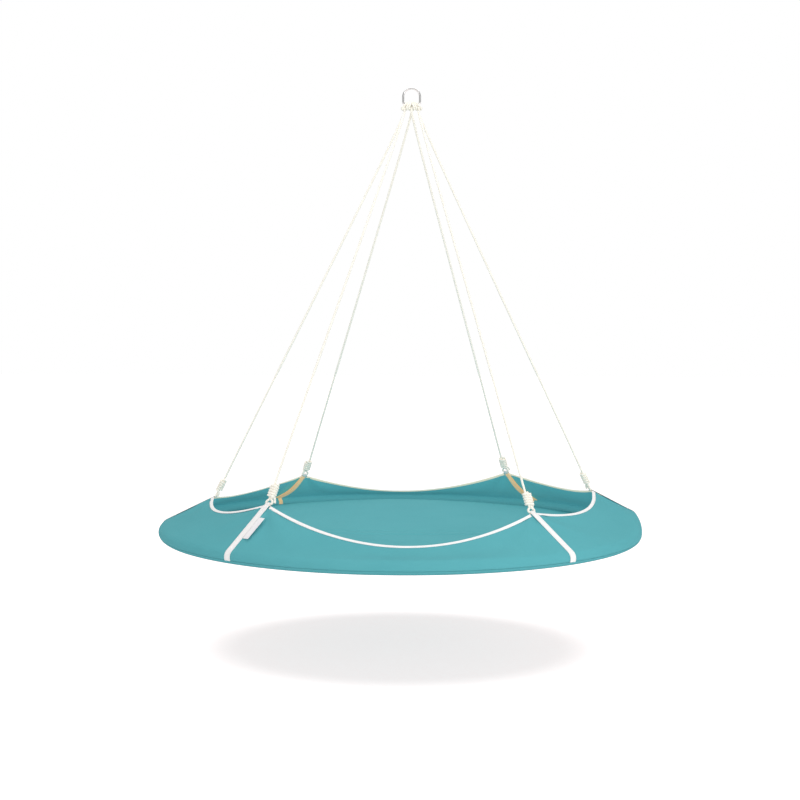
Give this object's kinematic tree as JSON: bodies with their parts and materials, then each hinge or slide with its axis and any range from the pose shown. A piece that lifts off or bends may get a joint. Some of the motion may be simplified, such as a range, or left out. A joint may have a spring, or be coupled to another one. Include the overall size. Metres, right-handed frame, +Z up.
{
  "type": "hanging bed hammock",
  "caption": "Round double hammock with a scalloped cloth wall, a padded mattress and a tube hoop in its rim, hung by doubled ropes from one D-ring",
  "frame": {"origin": "hang point: the inside top of the D-ring, where a hook carries the hammock", "axes": "+Z up, away from the bed; -Y faces the picture; the bar of the ring and the swing axis lie along X"},
  "size_m": [1.8319, 1.8292, 1.7017],
  "materials": {
    "ring": "polished steel wire",
    "tube": "smooth coated steel tube, hidden in the rim",
    "rope": "braided white rope",
    "white_webbing": "flat woven white webbing and binding",
    "tan_webbing": "flat woven tan webbing",
    "cloth": "plain teal outdoor cloth"
  },
  "bodies": {
    "ring": {"d_ring": "ring"},
    "bed": {"rope_left": "rope", "rope_rear": "rope", "rope_right": "rope", "sling_right": "tan_webbing", "tape_right": "white_webbing", "sling_back_right": "tan_webbing", "tape_back_right": "white_webbing", "sling_back_left": "tan_webbing", "tape_back_left": "white_webbing", "sling_left": "tan_webbing", "tape_left": "white_webbing", "sling_front_left": "tan_webbing", "tape_front_left": "white_webbing", "sling_front_right": "tan_webbing", "tape_front_right": "white_webbing", "wall_right_rear": "cloth", "binding_right_rear": "white_webbing", "wall_rear": "cloth", "binding_rear": "white_webbing", "wall_left_rear": "cloth", "binding_left_rear": "white_webbing", "wall_left_front": "cloth", "binding_left_front": "white_webbing", "wall_front": "cloth", "binding_front": "white_webbing", "wall_right_front": "cloth", "binding_right_front": "white_webbing", "hoop_tube_right": "tube", "hoop_spigot_1": "tube", "hoop_tube_back_right": "tube", "hoop_spigot_2": "tube", "hoop_tube_back_left": "tube", "hoop_spigot_3": "tube", "hoop_tube_left": "tube", "hoop_spigot_4": "tube", "hoop_tube_front_left": "tube", "hoop_spigot_5": "tube", "hoop_tube_front_right": "tube", "hoop_spigot_6": "tube", "base_cover": "cloth", "mattress": "cloth", "label": "white_webbing"},
    "knot_right_body": {"knot_right": "rope"},
    "knot_back_right_body": {"knot_back_right": "rope"},
    "knot_back_left_body": {"knot_back_left": "rope"},
    "knot_left_body": {"knot_left": "rope"},
    "knot_front_left_body": {"knot_front_left": "rope"},
    "knot_front_right_body": {"knot_front_right": "rope"}
  },
  "joints": [
    {"name": "swing", "type": "hinge", "parent": "ring", "child": "bed", "pos_m": [0, 0, -0.056], "axis": [1, 0, 0], "range_deg": [-25, 25]},
    {"name": "slide_right", "type": "slide", "parent": "bed", "child": "knot_right_body", "axis": [-0.421, 0.0027, 0.907], "range_m": [0, 0.06]},
    {"name": "slide_back_right", "type": "slide", "parent": "bed", "child": "knot_back_right_body", "axis": [-0.2628, -0.3678, 0.892], "range_m": [0, 0.06]},
    {"name": "slide_back_left", "type": "slide", "parent": "bed", "child": "knot_back_left_body", "axis": [0.2775, -0.3762, 0.884], "range_m": [0, 0.06]},
    {"name": "slide_left", "type": "slide", "parent": "bed", "child": "knot_left_body", "axis": [0.4396, 0.0026, 0.8982], "range_m": [0, 0.06]},
    {"name": "slide_front_left", "type": "slide", "parent": "bed", "child": "knot_front_left_body", "axis": [0.2831, 0.3524, 0.892], "range_m": [0, 0.06]},
    {"name": "slide_front_right", "type": "slide", "parent": "bed", "child": "knot_front_right_body", "axis": [-0.2375, 0.3516, 0.9055], "range_m": [0, 0.06]}
  ]
}
